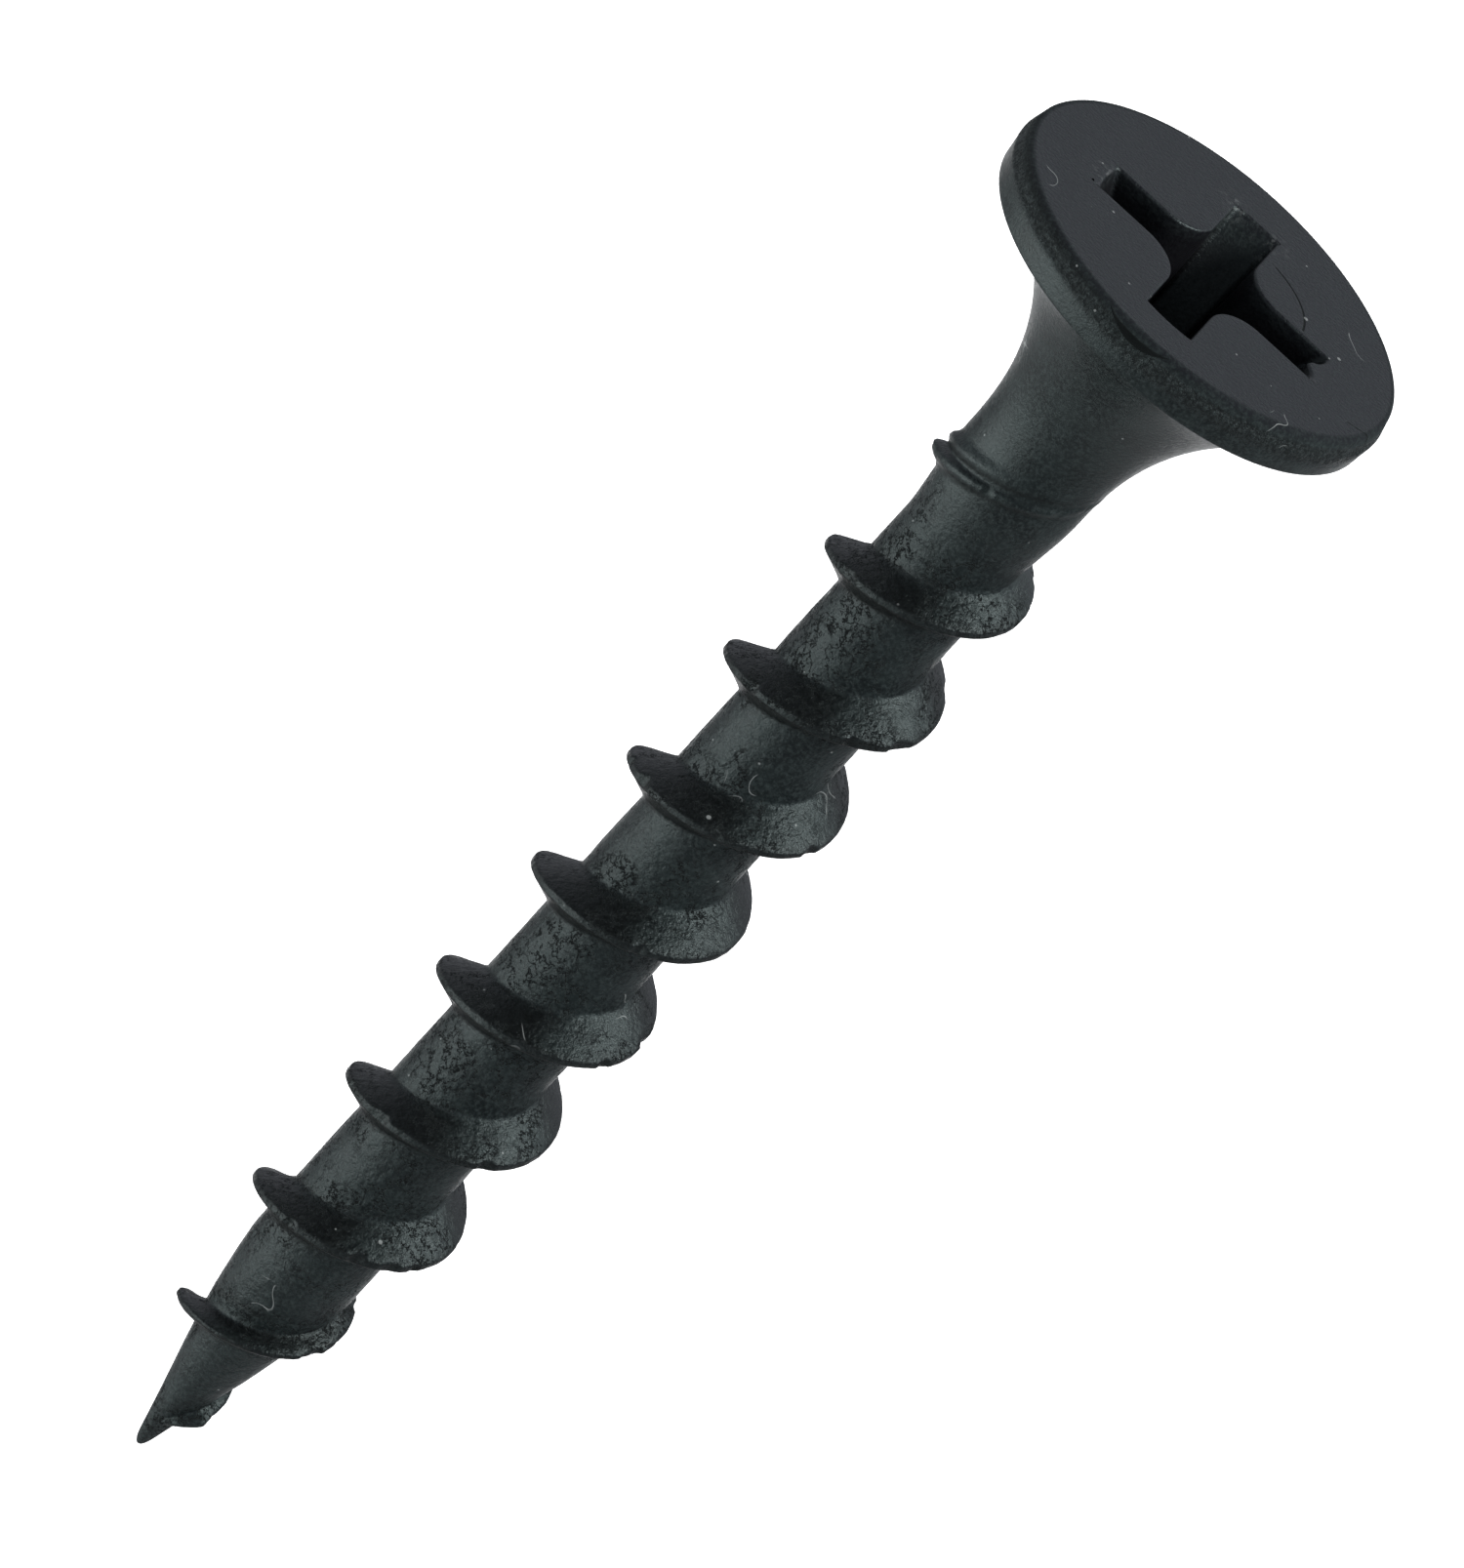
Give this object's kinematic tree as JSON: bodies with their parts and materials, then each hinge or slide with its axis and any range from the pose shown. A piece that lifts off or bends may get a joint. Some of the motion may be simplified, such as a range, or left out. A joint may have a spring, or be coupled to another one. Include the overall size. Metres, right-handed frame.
{
  "type": "wood screw",
  "caption": "Coarse-thread wood screw with a bugle head, a cross recess and a sharp point, in black phosphate.",
  "frame": {"origin": "centre of the flat head face, which ends flush with the wood", "axes": "+Z out of the head along the screw's axis, so the point is at the most negative Z; the recess's wings lie along X and Y"},
  "size_m": [0.0082, 0.0082, 0.0317],
  "materials": {
    "black_phosphate": "satin"
  },
  "bodies": {
    "root": {"screw": "black_phosphate"}
  },
  "joints": []
}
